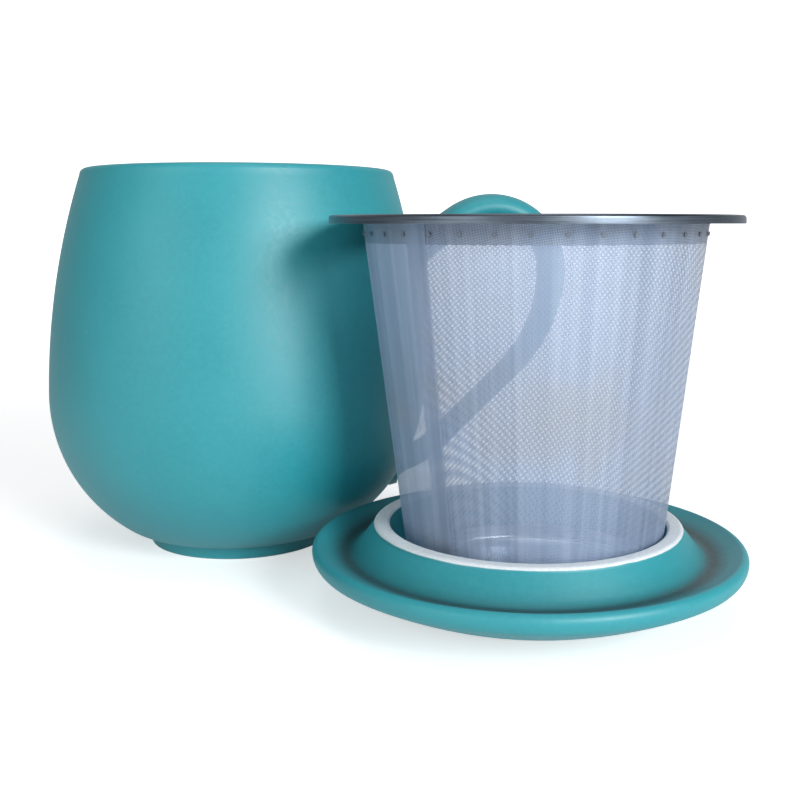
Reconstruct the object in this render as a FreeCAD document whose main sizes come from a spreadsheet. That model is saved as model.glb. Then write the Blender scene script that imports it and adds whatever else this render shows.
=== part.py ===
"""Lidded tea mug with infuser, in millimetres.

The mug stands at the left. Its lid lies upside down beside it as a coaster, and the infuser stands
in the ring of the lid. The frame has +Z up, and its origin is on the table, under the middle of the
whole set.
"""
import FreeCAD, Part
import math
import os
import Sketcher

os.makedirs("parts", exist_ok=True)
doc = FreeCAD.newDocument("TeaMug")

# Driving sizes
SIZES = [
    # Mug body
    ("mug_height", 96.6),
    ("rim_radius", 40.5),
    ("rim_wall", 2.8),
    ("rim_outer_round", 1.7),
    ("rim_inner_round", 1.0),
    ("belly_radius", 48.4),
    ("belly_level", 40.0),
    ("belly_wall", 3.4),
    ("lower_curve", 42.0),
    ("bottom_curve", 14.0),
    ("foot_height", 3.4),
    ("foot_top_radius", 24.6),
    ("foot_radius", 23.4),
    ("foot_width", 3.2),
    ("foot_slant", 0.8),
    ("foot_recess", 2.6),
    ("floor_level", 7.0),
    ("floor_curve", 13.0),
    # Mug handle: a strap bent to an ear shape
    ("handle_azimuth", 5.0),
    ("handle_reach", 83.4),
    ("handle_level", 70.8),
    ("loop_curve", 16.4),
    ("loop_turn", 130.0),
    ("loop_root_depth", 7.3),
    ("tail_curve", 38.0),
    ("tail_turn", 46.0),
    ("tail_run", 30.0),
    ("root_curve", 14.0),
    ("root_turn", 30.0),
    ("tail_root_depth", 10.7),
    ("strap_thickness", 7.0),
    ("strap_width", 14.0),
    ("strap_round", 3.2),
    # Lid, upside down: levels are measured up from its top face, which lies on the table
    ("lid_offset_x", 71.3),
    ("lid_offset_y", 49.6),
    ("lid_radius", 47.0),
    ("lip_level", 12.2),
    ("lip_under_round", 3.3),
    ("lip_under_angle", 64.0),
    ("lip_over_round", 1.5),
    ("lip_over_angle", 84.0),
    ("lid_flat_radius", 22.0),
    ("dome_curve", 120.0),
    ("lid_thickness", 4.6),
    ("dish_radius", 39.0),
    ("dish_level", 11.5),
    ("dish_curve", 16.0),
    ("ring_foot_width", 1.8),
    ("ring_foot_rise", 0.7),
    ("ring_foot_curve", 2.2),
    ("ring_inner_radius", 30.1),
    ("ring_wall", 3.6),
    ("ring_top_level", 17.7),
    ("ring_outer_round", 1.0),
    ("ring_inner_round", 0.8),
    ("ring_draft", 0.9),
    ("ring_floor_round", 1.5),
    # Infuser: levels are measured up from the underside of its base
    ("infuser_shift_x", 1.2),
    ("infuser_shift_y", 0.6),
    ("seat_gap", 0.1),
    ("infuser_height", 79.3),
    ("basket_top_radius", 37.3),
    ("basket_bottom_radius", 26.8),
    ("sheet_thickness", 0.5),
    ("mesh_thickness", 0.3),
    ("mesh_top_gap", 0.2),
    ("mesh_bottom_level", 2.2),
    ("mesh_seam_azimuth", 222.5),
    ("mesh_lap_angle", 8.0),
    ("flange_radius", 44.3),
    ("flange_drop", 1.2),
    ("flange_round", 0.7),
    ("collar_height", 4.9),
    ("collar_bend", 1.1),
    ("base_wall_height", 4.2),
    ("base_corner", 2.0),
    ("weld_radius", 0.5),
    ("weld_height", 0.15),
    ("weld_drop", 3.0),
    ("weld_pin_length", 4.0),
    ("weld_pin_inset", 1.0),
]

# Places worked out from the sizes
PLACES = [
    # Where the pieces stand
    ("mug_x", "(Sizes.belly_radius - Sizes.lid_offset_x - Sizes.lid_radius) / 2"),
    ("mug_y", "(Sizes.lid_offset_y + Sizes.lid_radius - Sizes.belly_radius) / 2"),
    ("lid_x", "mug_x + Sizes.lid_offset_x"),
    ("lid_y", "mug_y - Sizes.lid_offset_y"),
    ("infuser_x", "lid_x + Sizes.infuser_shift_x"),
    ("infuser_y", "lid_y - Sizes.infuser_shift_y"),
    ("infuser_level", "Sizes.lid_thickness + Sizes.seat_gap"),
    # Outside of the mug: the centre and radius of the side, lower and bottom arcs
    ("rim_shoulder", "Sizes.mug_height - Sizes.rim_outer_round"),
    ("rim_top_radius", "Sizes.rim_radius - Sizes.rim_outer_round"),
    ("swell", "Sizes.belly_radius - Sizes.rim_radius"),
    ("side_rise", "rim_shoulder - Sizes.belly_level"),
    ("side_curve", "(side_rise ^ 2 + swell ^ 2) / (2 * swell)"),
    ("lower_centre", "Sizes.belly_radius - Sizes.lower_curve"),
    ("foot_across", "Sizes.foot_top_radius - lower_centre"),
    ("foot_down", "Sizes.belly_level - Sizes.foot_height"),
    ("foot_far", "sqrt(foot_across ^ 2 + foot_down ^ 2)"),
    ("curve_step", "Sizes.lower_curve - Sizes.bottom_curve"),
    ("step_along", "(curve_step ^ 2 - Sizes.bottom_curve ^ 2 + foot_far ^ 2) / (2 * foot_far)"),
    ("step_aside", "sqrt(curve_step ^ 2 - step_along ^ 2)"),
    ("bottom_across", "(step_along * foot_across + step_aside * foot_down) / foot_far"),
    ("bottom_down", "(step_along * foot_down - step_aside * foot_across) / foot_far"),
    ("turn_radius", "lower_centre + bottom_across * Sizes.lower_curve / curve_step"),
    ("turn_level", "Sizes.belly_level - bottom_down * Sizes.lower_curve / curve_step"),
    # Foot ring
    ("foot_inner_radius", "Sizes.foot_radius - Sizes.foot_width"),
    ("recess_radius", "foot_inner_radius - Sizes.foot_slant"),
    # Inside of the mug
    ("mouth_top_radius", "Sizes.rim_radius - Sizes.rim_wall + Sizes.rim_inner_round"),
    ("mouth_radius", "Sizes.rim_radius - Sizes.rim_wall"),
    ("mouth_level", "Sizes.mug_height - Sizes.rim_inner_round"),
    ("inner_belly_radius", "Sizes.belly_radius - Sizes.belly_wall"),
    ("inner_swell", "inner_belly_radius - mouth_radius"),
    ("inner_rise", "mouth_level - Sizes.belly_level"),
    ("inner_side_curve", "(inner_rise ^ 2 + inner_swell ^ 2) / (2 * inner_swell)"),
    ("inner_lower_curve", "Sizes.lower_curve - Sizes.belly_wall"),
    ("inner_step", "inner_lower_curve - Sizes.floor_curve"),
    ("inner_down", "Sizes.belly_level - Sizes.floor_level - Sizes.floor_curve"),
    ("inner_across", "sqrt(inner_step ^ 2 - inner_down ^ 2)"),
    ("floor_radius", "lower_centre + inner_across"),
    ("inner_turn_radius", "lower_centre + inner_across * inner_lower_curve / inner_step"),
    ("inner_turn_level", "Sizes.belly_level - inner_down * inner_lower_curve / inner_step"),
    # Line of the handle
    ("loop_centre", "Sizes.handle_reach - Sizes.loop_curve"),
    ("loop_end_x", "loop_centre + Sizes.loop_curve * cos(Sizes.loop_turn * 1 deg)"),
    ("loop_end_z", "Sizes.handle_level + Sizes.loop_curve * sin(Sizes.loop_turn * 1 deg)"),
    ("loop_root_x", "Sizes.belly_radius - Sizes.loop_root_depth"),
    ("loop_root_run", "(loop_end_x - loop_root_x) / sin(Sizes.loop_turn * 1 deg)"),
    ("loop_root_z", "loop_end_z + loop_root_run * cos(Sizes.loop_turn * 1 deg)"),
    ("tail_centre", "Sizes.handle_reach - Sizes.tail_curve"),
    ("tail_end_x", "tail_centre + Sizes.tail_curve * cos(Sizes.tail_turn * 1 deg)"),
    ("tail_end_z", "Sizes.handle_level - Sizes.tail_curve * sin(Sizes.tail_turn * 1 deg)"),
    ("run_end_x", "tail_end_x - Sizes.tail_run * sin(Sizes.tail_turn * 1 deg)"),
    ("run_end_z", "tail_end_z - Sizes.tail_run * cos(Sizes.tail_turn * 1 deg)"),
    ("root_heading", "Sizes.tail_turn + Sizes.root_turn"),
    ("root_shift_x", "Sizes.root_curve * (cos(Sizes.tail_turn * 1 deg) - cos(root_heading * 1 deg))"),
    ("root_shift_z", "Sizes.root_curve * (sin(root_heading * 1 deg) - sin(Sizes.tail_turn * 1 deg))"),
    ("root_end_x", "run_end_x - root_shift_x"),
    ("root_end_z", "run_end_z - root_shift_z"),
    ("tail_root_x", "Sizes.belly_radius - Sizes.tail_root_depth"),
    ("tail_root_run", "(root_end_x - tail_root_x) / sin(root_heading * 1 deg)"),
    ("tail_root_z", "root_end_z - tail_root_run * cos(root_heading * 1 deg)"),
    ("strap_left", "Sizes.handle_reach - Sizes.strap_thickness / 2"),
    ("strap_right", "Sizes.handle_reach + Sizes.strap_thickness / 2"),
    ("strap_left_flat", "strap_left + Sizes.strap_round"),
    ("strap_right_flat", "strap_right - Sizes.strap_round"),
    ("strap_back", "Sizes.strap_width / 2"),
    ("strap_front", "-Sizes.strap_width / 2"),
    ("strap_back_flat", "strap_back - Sizes.strap_round"),
    ("strap_front_flat", "strap_front + Sizes.strap_round"),
    # Lid
    ("lip_under_depth", "Sizes.lip_under_round * (1 - cos(Sizes.lip_under_angle * 1 deg))"),
    ("lip_under_radius", "Sizes.lid_radius - lip_under_depth"),
    ("lip_under_drop", "Sizes.lip_under_round * sin(Sizes.lip_under_angle * 1 deg)"),
    ("lip_under_level", "Sizes.lip_level - lip_under_drop"),
    ("lip_over_depth", "Sizes.lip_over_round * (1 - cos(Sizes.lip_over_angle * 1 deg))"),
    ("lip_over_radius", "Sizes.lid_radius - lip_over_depth"),
    ("lip_over_level", "Sizes.lip_level + Sizes.lip_over_round * sin(Sizes.lip_over_angle * 1 deg)"),
    ("ring_foot_radius", "Sizes.dish_radius - Sizes.ring_foot_width"),
    ("ring_foot_level", "Sizes.dish_level + Sizes.ring_foot_rise"),
    ("ring_outer_radius", "Sizes.ring_inner_radius + Sizes.ring_wall"),
    ("ring_shoulder_level", "Sizes.ring_top_level - Sizes.ring_outer_round"),
    ("ring_crown_radius", "ring_outer_radius - Sizes.ring_outer_round"),
    ("ring_bore_crown", "Sizes.ring_inner_radius + Sizes.ring_inner_round"),
    ("ring_bore_level", "Sizes.ring_top_level - Sizes.ring_inner_round"),
    ("ring_bore_radius", "Sizes.ring_inner_radius - Sizes.ring_draft"),
    ("ring_bore_foot", "Sizes.lid_thickness + Sizes.ring_floor_round"),
    ("ring_floor_radius", "ring_bore_radius - Sizes.ring_floor_round"),
    # Basket: radius of the mesh's outside at each level
    ("flange_under", "Sizes.infuser_height - Sizes.sheet_thickness"),
    ("taper", "(Sizes.basket_top_radius - Sizes.basket_bottom_radius) / flange_under"),
    ("mesh_top_level", "flange_under - Sizes.mesh_top_gap"),
    ("mesh_top_outer", "Sizes.basket_bottom_radius + taper * mesh_top_level"),
    ("mesh_top_inner", "mesh_top_outer - Sizes.mesh_thickness"),
    ("mesh_top_lap", "mesh_top_outer + Sizes.mesh_thickness"),
    ("mesh_bottom_outer", "Sizes.basket_bottom_radius + taper * Sizes.mesh_bottom_level"),
    ("mesh_bottom_inner", "mesh_bottom_outer - Sizes.mesh_thickness"),
    ("mesh_bottom_lap", "mesh_bottom_outer + Sizes.mesh_thickness"),
    # Flange and collar
    ("collar_outer_radius", "Sizes.basket_top_radius - Sizes.mesh_thickness"),
    ("collar_inner_radius", "collar_outer_radius - Sizes.sheet_thickness"),
    ("bend_radius", "collar_inner_radius + Sizes.collar_bend"),
    ("bend_level", "Sizes.infuser_height - Sizes.collar_bend"),
    ("bend_inner_radius", "collar_inner_radius - taper * (flange_under - bend_level)"),
    ("collar_bottom_level", "flange_under - Sizes.collar_height"),
    ("collar_bottom_outer", "collar_outer_radius - taper * Sizes.collar_height"),
    ("collar_bottom_inner", "collar_bottom_outer - Sizes.sheet_thickness"),
    ("flange_lip_bottom", "Sizes.infuser_height - Sizes.flange_drop"),
    ("flange_shoulder", "Sizes.infuser_height - Sizes.flange_round"),
    ("flange_top_radius", "Sizes.flange_radius - Sizes.flange_round"),
    ("flange_lip_inner", "Sizes.flange_radius - Sizes.sheet_thickness"),
    # Base
    ("mesh_base_inner", "Sizes.basket_bottom_radius - Sizes.mesh_thickness"),
    ("base_corner_radius", "mesh_base_inner + taper * Sizes.base_corner"),
    ("base_flat_radius", "base_corner_radius - Sizes.base_corner"),
    ("base_top_outer", "mesh_base_inner + taper * Sizes.base_wall_height"),
    ("base_top_inner", "base_top_outer - Sizes.sheet_thickness"),
    ("base_corner_inner", "base_corner_radius - Sizes.sheet_thickness"),
    ("base_inner_curve", "Sizes.base_corner - Sizes.sheet_thickness"),
    # Spot welds: a ring of them between the laps of the mesh
    ("weld_level", "flange_under - Sizes.weld_drop"),
    ("weld_band_bottom", "weld_level - 2 * Sizes.weld_radius"),
    ("weld_band_height", "4 * Sizes.weld_radius"),
    ("weld_band_lower", "Sizes.basket_bottom_radius + taper * weld_band_bottom"),
    ("weld_band_upper", "weld_band_lower + taper * weld_band_height"),
    ("weld_start", "weld_band_lower - Sizes.weld_pin_inset"),
]
WELD_COUNT = 34


def fill_sheet(name, rows):
    sheet = doc.addObject("Spreadsheet::Sheet", name)
    for row, (alias, value) in enumerate(rows, start=1):
        sheet.set("A%d" % row, alias)
        content = "=" + value if isinstance(value, str) else str(value)
        sheet.set("B%d" % row, content)
        sheet.setAlias("B%d" % row, alias)
    doc.recompute()
    return sheet


sizes = fill_sheet("Sizes", SIZES)
places = fill_sheet("Places", PLACES)
SIZE_NAMES = {alias for alias, value in SIZES}


def bound(name):
    """The expression of a named size or place."""
    return ("Sizes." if name in SIZE_NAMES else "Places.") + name


def value_of(name):
    """The number that a named size or place holds, and 0 for 0."""
    if name == 0:
        return 0.0
    return float(sizes.get(name) if name in SIZE_NAMES else places.get(name))


def new_body(label):
    body = doc.addObject("PartDesign::Body", label)
    body.Label = label
    return body


def origin_plane(body, role):
    return next(item for item in body.Origin.OriginFeatures if item.Role == role)


def new_sketch(body, name, role="XZ_Plane"):
    sketch = body.newObject("Sketcher::SketchObject", name)
    sketch.AttachmentSupport = (origin_plane(body, role), [""])
    sketch.MapMode = "FlatFace"
    return sketch


def arc_between(start, end, radius, side):
    """The shorter arc from start to end, with its centre on the left (1) or right (-1) of the way."""
    way = end - start
    half = way.Length / 2
    across = FreeCAD.Vector(-way.y, way.x, 0).normalize()
    reach = math.sqrt(max(radius ** 2 - half ** 2, 0.0))
    centre = (start + end) * 0.5 + across * (reach * side)
    first, last = (start, end) if side > 0 else (end, start)
    from_angle = math.atan2(first.y - centre.y, first.x - centre.x)
    to_angle = math.atan2(last.y - centre.y, last.x - centre.x)
    circle = Part.Circle(centre, FreeCAD.Vector(0, 0, 1), radius)
    return Part.ArcOfCircle(circle, from_angle, to_angle)


def pin(sketch, edge, end, axis_name, constraint, value):
    """Ties one coordinate of an edge's end to a size or place, or to the sketch's own axis."""
    if value == 0:
        own_axis = -2 if axis_name == "x" else -1
        sketch.addConstraint(Sketcher.Constraint("PointOnObject", edge, end, own_axis))
        return
    number = value_of(value)
    index = sketch.addConstraint(Sketcher.Constraint(constraint, -1, 1, edge, end, number))
    sketch.setExpression("Constraints[%d]" % index, bound(value))


def draw(sketch, corners, arcs, closed=True):
    """Draws an outline. Corners are pairs of names, and arcs give an edge's radius and its side."""
    points = [FreeCAD.Vector(value_of(x), value_of(y), 0) for x, y in corners]
    count = len(corners) if closed else len(corners) - 1
    # Each edge's start and end, as the sketch numbers them: its arcs run anticlockwise
    ends = []
    for i in range(count):
        start = points[i]
        end = points[(i + 1) % len(points)]
        radius, side = arcs.get(i, (None, 1))
        if radius:
            sketch.addGeometry(arc_between(start, end, value_of(radius), side), False)
        else:
            sketch.addGeometry(Part.LineSegment(start, end), False)
        ends.append((1, 2) if side > 0 else (2, 1))
    for i in range(count):
        following = (i + 1) % len(corners)
        if following < count:
            ring = (i, ends[i][1], following, ends[following][0])
            sketch.addConstraint(Sketcher.Constraint("Coincident", *ring))
        pin(sketch, i, ends[i][0], "x", "DistanceX", corners[i][0])
        pin(sketch, i, ends[i][0], "y", "DistanceY", corners[i][1])
        if i in arcs:
            radius = arcs[i][0]
            index = sketch.addConstraint(Sketcher.Constraint("Radius", i, value_of(radius)))
            sketch.setExpression("Constraints[%d]" % index, bound(radius))
    if not closed:
        pin(sketch, count - 1, ends[count - 1][1], "x", "DistanceX", corners[count][0])
        pin(sketch, count - 1, ends[count - 1][1], "y", "DistanceY", corners[count][1])
    doc.recompute()


def revolve(body, name, corners, arcs, kind="PartDesign::Revolution", angle=None):
    sketch = new_sketch(body, name + "Outline")
    draw(sketch, corners, arcs)
    feature = body.newObject(kind, name)
    feature.Profile = sketch
    feature.ReferenceAxis = (sketch, ["V_Axis"])
    feature.Angle = 360.0
    if angle:
        feature.setExpression("Angle", bound(angle))
    doc.recompute()
    return feature


def stand(piece, x, y, level=None, turn=None):
    """Puts a piece at its place in the set."""
    piece.setExpression(".Placement.Base.x", bound(x))
    piece.setExpression(".Placement.Base.y", bound(y))
    if level:
        piece.setExpression(".Placement.Base.z", bound(level))
    if turn:
        piece.Placement.Rotation = FreeCAD.Rotation(FreeCAD.Vector(0, 0, 1), 1)
        piece.setExpression(".Placement.Rotation.Angle", bound(turn))


# The mug's outside, from the rim's top down to the foot
OUTSIDE = [
    ("rim_top_radius", "mug_height"),
    ("rim_radius", "rim_shoulder"),
    ("belly_radius", "belly_level"),
    ("turn_radius", "turn_level"),
    ("foot_top_radius", "foot_height"),
    ("foot_radius", 0),
]
OUTSIDE_ARCS = {
    0: ("rim_outer_round", -1),
    1: ("side_curve", -1),
    2: ("lower_curve", -1),
    3: ("bottom_curve", -1),
}


def make_mug_body():
    body = new_body("mug_body")
    inside = [
        ("foot_inner_radius", 0),
        ("recess_radius", "foot_recess"),
        (0, "foot_recess"),
        (0, "floor_level"),
        ("floor_radius", "floor_level"),
        ("inner_turn_radius", "inner_turn_level"),
        ("inner_belly_radius", "belly_level"),
        ("mouth_radius", "mouth_level"),
        ("mouth_top_radius", "mug_height"),
    ]
    arcs = dict(OUTSIDE_ARCS)
    arcs[10] = ("floor_curve", 1)
    arcs[11] = ("inner_lower_curve", 1)
    arcs[12] = ("inner_side_curve", 1)
    arcs[13] = ("rim_inner_round", -1)
    revolve(body, "MugWall", OUTSIDE + inside, arcs)
    stand(body, "mug_x", "mug_y")
    return body


def make_mug_handle():
    body = new_body("mug_handle")
    section = new_sketch(body, "StrapSection", "XY_Plane")
    section.setExpression(".AttachmentOffset.Base.z", bound("handle_level"))
    draw(section, [
        ("strap_left_flat", "strap_front"),
        ("strap_right_flat", "strap_front"),
        ("strap_right", "strap_front_flat"),
        ("strap_right", "strap_back_flat"),
        ("strap_right_flat", "strap_back"),
        ("strap_left_flat", "strap_back"),
        ("strap_left", "strap_back_flat"),
        ("strap_left", "strap_front_flat"),
    ], {i: ("strap_round", 1) for i in (1, 3, 5, 7)})
    loop = new_sketch(body, "LoopLine")
    draw(loop, [
        ("handle_reach", "handle_level"),
        ("loop_end_x", "loop_end_z"),
        ("loop_root_x", "loop_root_z"),
    ], {0: ("loop_curve", 1)}, closed=False)
    tail = new_sketch(body, "TailLine")
    draw(tail, [
        ("handle_reach", "handle_level"),
        ("tail_end_x", "tail_end_z"),
        ("run_end_x", "run_end_z"),
        ("root_end_x", "root_end_z"),
        ("tail_root_x", "tail_root_z"),
    ], {0: ("tail_curve", -1), 2: ("root_curve", -1)}, closed=False)
    for name, line, edges in (("HandleLoop", loop, 2), ("HandleTail", tail, 4)):
        pipe = body.newObject("PartDesign::AdditivePipe", name)
        pipe.Profile = section
        pipe.Spine = (line, ["Edge%d" % (i + 1) for i in range(edges)])
        doc.recompute()
    # The roots end on the mug's own outside
    before = body.Shape.Volume
    core = OUTSIDE + [(0, 0), (0, "mug_height")]
    revolve(body, "MugSeat", core, OUTSIDE_ARCS, kind="PartDesign::Groove")
    if body.Shape.Volume >= before:
        raise RuntimeError("the mug's outside doesn't cut the handle's roots")
    stand(body, "mug_x", "mug_y", turn="handle_azimuth")
    return body


def make_lid():
    body = new_body("lid")
    revolve(body, "LidWall", [
        (0, 0),
        ("lid_flat_radius", 0),
        ("lip_under_radius", "lip_under_level"),
        ("lid_radius", "lip_level"),
        ("lip_over_radius", "lip_over_level"),
        ("dish_radius", "dish_level"),
        ("ring_foot_radius", "ring_foot_level"),
        ("ring_outer_radius", "ring_shoulder_level"),
        ("ring_crown_radius", "ring_top_level"),
        ("ring_bore_crown", "ring_top_level"),
        ("ring_inner_radius", "ring_bore_level"),
        ("ring_bore_radius", "ring_bore_foot"),
        ("ring_floor_radius", "lid_thickness"),
        (0, "lid_thickness"),
    ], {
        1: ("dome_curve", 1),
        2: ("lip_under_round", 1),
        3: ("lip_over_round", 1),
        4: ("dish_curve", -1),
        5: ("ring_foot_curve", -1),
        7: ("ring_outer_round", 1),
        9: ("ring_inner_round", 1),
        11: ("ring_floor_round", -1),
    })
    stand(body, "lid_x", "lid_y")
    return body


def make_infuser_rim():
    body = new_body("infuser_rim")
    revolve(body, "FlangeAndCollar", [
        ("flange_radius", "flange_lip_bottom"),
        ("flange_radius", "flange_shoulder"),
        ("flange_top_radius", "infuser_height"),
        ("bend_radius", "infuser_height"),
        ("bend_inner_radius", "bend_level"),
        ("collar_bottom_inner", "collar_bottom_level"),
        ("collar_bottom_outer", "collar_bottom_level"),
        ("collar_outer_radius", "flange_under"),
        ("flange_lip_inner", "flange_under"),
        ("flange_lip_inner", "flange_lip_bottom"),
    ], {
        1: ("flange_round", 1),
        3: ("collar_bend", 1),
    })
    stand(body, "infuser_x", "infuser_y", "infuser_level")
    return body


def make_mesh_wall():
    body = new_body("infuser_mesh_wall")
    revolve(body, "MeshSheet", [
        ("mesh_bottom_inner", "mesh_bottom_level"),
        ("mesh_bottom_outer", "mesh_bottom_level"),
        ("mesh_top_outer", "mesh_top_level"),
        ("mesh_top_inner", "mesh_top_level"),
    ], {})
    # The sheet's end laps over its start
    revolve(body, "MeshLap", [
        ("mesh_bottom_outer", "mesh_bottom_level"),
        ("mesh_bottom_lap", "mesh_bottom_level"),
        ("mesh_top_lap", "mesh_top_level"),
        ("mesh_top_outer", "mesh_top_level"),
    ], {}, angle="mesh_lap_angle")
    stand(body, "infuser_x", "infuser_y", "infuser_level", turn="mesh_seam_azimuth")
    return body


def make_base_pan():
    body = new_body("infuser_base_pan")
    revolve(body, "BaseCup", [
        (0, 0),
        ("base_flat_radius", 0),
        ("base_corner_radius", "base_corner"),
        ("base_top_outer", "base_wall_height"),
        ("base_top_inner", "base_wall_height"),
        ("base_corner_inner", "base_corner"),
        ("base_flat_radius", "sheet_thickness"),
        (0, "sheet_thickness"),
    ], {
        1: ("base_corner", 1),
        5: ("base_inner_curve", -1),
    })
    stand(body, "infuser_x", "infuser_y", "infuser_level")
    return body


def make_collar_welds():
    """Round, slightly raised spots on the mesh, which fix it to the collar."""
    cones = []
    for name, proud in (("WeldBandOutside", " + Sizes.weld_height"), ("WeldBandInside", "")):
        cone = doc.addObject("Part::Cone", name)
        cone.setExpression("Radius1", bound("weld_band_lower") + proud)
        cone.setExpression("Radius2", bound("weld_band_upper") + proud)
        cone.setExpression("Height", bound("weld_band_height"))
        cone.setExpression(".Placement.Base.z", bound("weld_band_bottom"))
        cones.append(cone)
    band = doc.addObject("Part::Cut", "WeldBand")
    band.Base = cones[0]
    band.Tool = cones[1]
    pins = []
    pitch = 360.0 / WELD_COUNT
    first = value_of("mesh_seam_azimuth") + (value_of("mesh_lap_angle") + pitch) / 2
    for i in range(WELD_COUNT):
        pin_piece = doc.addObject("Part::Cylinder", "WeldPin%02d" % (i + 1))
        pin_piece.setExpression("Radius", bound("weld_radius"))
        pin_piece.setExpression("Height", bound("weld_pin_length"))
        turn = FreeCAD.Rotation(FreeCAD.Vector(0, 0, 1), first + i * pitch)
        lean = FreeCAD.Rotation(FreeCAD.Vector(0, 1, 0), 90)
        place = turn.multVec(FreeCAD.Vector(value_of("weld_start"), 0, value_of("weld_level")))
        pin_piece.Placement = FreeCAD.Placement(place, turn.multiply(lean))
        pins.append(pin_piece)
    pin_ring = doc.addObject("Part::MultiFuse", "WeldPins")
    pin_ring.Shapes = pins
    welds = doc.addObject("Part::Common", "collar_spot_welds")
    welds.Label = "collar_spot_welds"
    welds.Base = band
    welds.Tool = pin_ring
    stand(welds, "infuser_x", "infuser_y", "infuser_level")
    doc.recompute()
    return welds


SUB_PARTS = [
    make_mug_body(),
    make_mug_handle(),
    make_lid(),
    make_infuser_rim(),
    make_mesh_wall(),
    make_base_pan(),
    make_collar_welds(),
]

# Check the document, then write each sub-part
doc.recompute()
for item in doc.Objects:
    if "Invalid" in item.State or "Error" in item.State:
        raise RuntimeError("%s is not made: %s" % (item.Name, item.State))
for piece in SUB_PARTS:
    if piece.Shape.isNull() or not piece.Shape.isValid():
        raise RuntimeError("%s has no valid shape" % piece.Label)
for piece in SUB_PARTS:
    piece.Shape.exportStep("parts/%s.step" % piece.Label)
    box = piece.Shape.BoundBox
    print("%-20s solids %2d  volume %9.1f  x %7.2f %7.2f  y %7.2f %7.2f  z %6.2f %6.2f" % (
        piece.Label, len(piece.Shape.Solids), piece.Shape.Volume,
        box.XMin, box.XMax, box.YMin, box.YMax, box.ZMin, box.ZMax))
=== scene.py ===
"""Looks of the tea mug, its lid and its infuser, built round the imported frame.

The pieces' sizes are in millimetres and their angles in degrees. The floor, the lights and the grain
of the materials are in metres.
"""

import math

import bpy
import numpy as np
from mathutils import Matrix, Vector


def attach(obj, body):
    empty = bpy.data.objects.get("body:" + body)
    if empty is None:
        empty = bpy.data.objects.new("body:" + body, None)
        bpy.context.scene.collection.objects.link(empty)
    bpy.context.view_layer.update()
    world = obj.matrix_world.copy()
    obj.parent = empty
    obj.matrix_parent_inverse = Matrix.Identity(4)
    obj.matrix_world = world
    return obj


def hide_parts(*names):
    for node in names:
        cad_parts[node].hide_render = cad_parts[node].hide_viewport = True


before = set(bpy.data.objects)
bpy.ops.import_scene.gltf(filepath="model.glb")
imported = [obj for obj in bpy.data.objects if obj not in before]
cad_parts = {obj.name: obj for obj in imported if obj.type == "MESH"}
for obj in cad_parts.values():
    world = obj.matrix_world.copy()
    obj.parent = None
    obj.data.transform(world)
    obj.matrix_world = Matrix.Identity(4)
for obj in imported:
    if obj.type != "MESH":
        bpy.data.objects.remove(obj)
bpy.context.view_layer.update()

MM = 0.001
MERGE_GAP = 1e-4


def sin(degrees):
    return math.sin(math.radians(degrees))


def cos(degrees):
    return math.cos(math.radians(degrees))


# Driving sizes of the mug
MUG_HEIGHT = 96.6
RIM_RADIUS = 40.5
RIM_WALL = 2.8
RIM_OUTER_ROUND = 1.7
RIM_INNER_ROUND = 1.0
BELLY_RADIUS = 48.4
BELLY_LEVEL = 40.0
BELLY_WALL = 3.4
LOWER_CURVE = 42.0
BOTTOM_CURVE = 14.0
FOOT_HEIGHT = 3.4
FOOT_TOP_RADIUS = 24.6
FOOT_RADIUS = 23.4
FOOT_WIDTH = 3.2
FOOT_SLANT = 0.8
FOOT_RECESS = 2.6
FLOOR_LEVEL = 7.0
FLOOR_CURVE = 13.0

# Driving sizes of the handle
HANDLE_AZIMUTH = 5.0
HANDLE_REACH = 83.4
HANDLE_LEVEL = 70.8
LOOP_CURVE = 16.4
LOOP_TURN = 130.0
LOOP_ROOT_DEPTH = 7.3
TAIL_CURVE = 38.0
TAIL_TURN = 46.0
TAIL_RUN = 30.0
ROOT_CURVE = 14.0
ROOT_TURN = 30.0
TAIL_ROOT_DEPTH = 10.7
STRAP_THICKNESS = 7.4
TAIL_THICKNESS = 5.2
STRAP_WIDTH = 13.6
ROOT_FILLET = 3.0

# Driving sizes of the lid, which lies upside down
LID_OFFSET = (71.3, -49.6)
LID_RADIUS = 47.0
LIP_LEVEL = 12.2
LIP_UNDER_ROUND = 3.3
LIP_UNDER_ANGLE = 64.0
LIP_OVER_ROUND = 1.5
LIP_OVER_ANGLE = 84.0
LID_FLAT_RADIUS = 22.0
DOME_CURVE = 120.0
LID_THICKNESS = 4.6
DISH_RADIUS = 39.0
DISH_LEVEL = 11.5
DISH_CURVE = 16.0
RING_FOOT_WIDTH = 1.8
RING_FOOT_RISE = 0.7
RING_FOOT_CURVE = 2.2
RING_INNER_RADIUS = 30.1
RING_WALL = 3.6
RING_TOP_LEVEL = 17.7
RING_OUTER_ROUND = 1.0
RING_INNER_ROUND = 0.8
RING_DRAFT = 0.9
RING_FLOOR_ROUND = 1.5

# Driving sizes of the infuser
INFUSER_SHIFT = (1.2, -0.6)
SEAT_GAP = 0.1
INFUSER_HEIGHT = 79.3
BASKET_TOP_RADIUS = 37.3
BASKET_BOTTOM_RADIUS = 26.8
SHEET_THICKNESS = 0.5
MESH_THICKNESS = 0.3
MESH_TOP_GAP = 0.2
MESH_BOTTOM_LEVEL = 2.2
SEAM_AZIMUTH = 222.5
LAP_ANGLE = 8.0
LAP_RISE = 0.12
FLANGE_RADIUS = 44.3
FLANGE_CROWN = 0.4
FLANGE_DROP = 1.8
FLANGE_ROUND = 0.7
COLLAR_HEIGHT = 4.9
COLLAR_BEND = 1.1
MOUTH_BEND = 1.4
BASE_WALL_HEIGHT = 4.2
BASE_CORNER = 2.0

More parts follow.
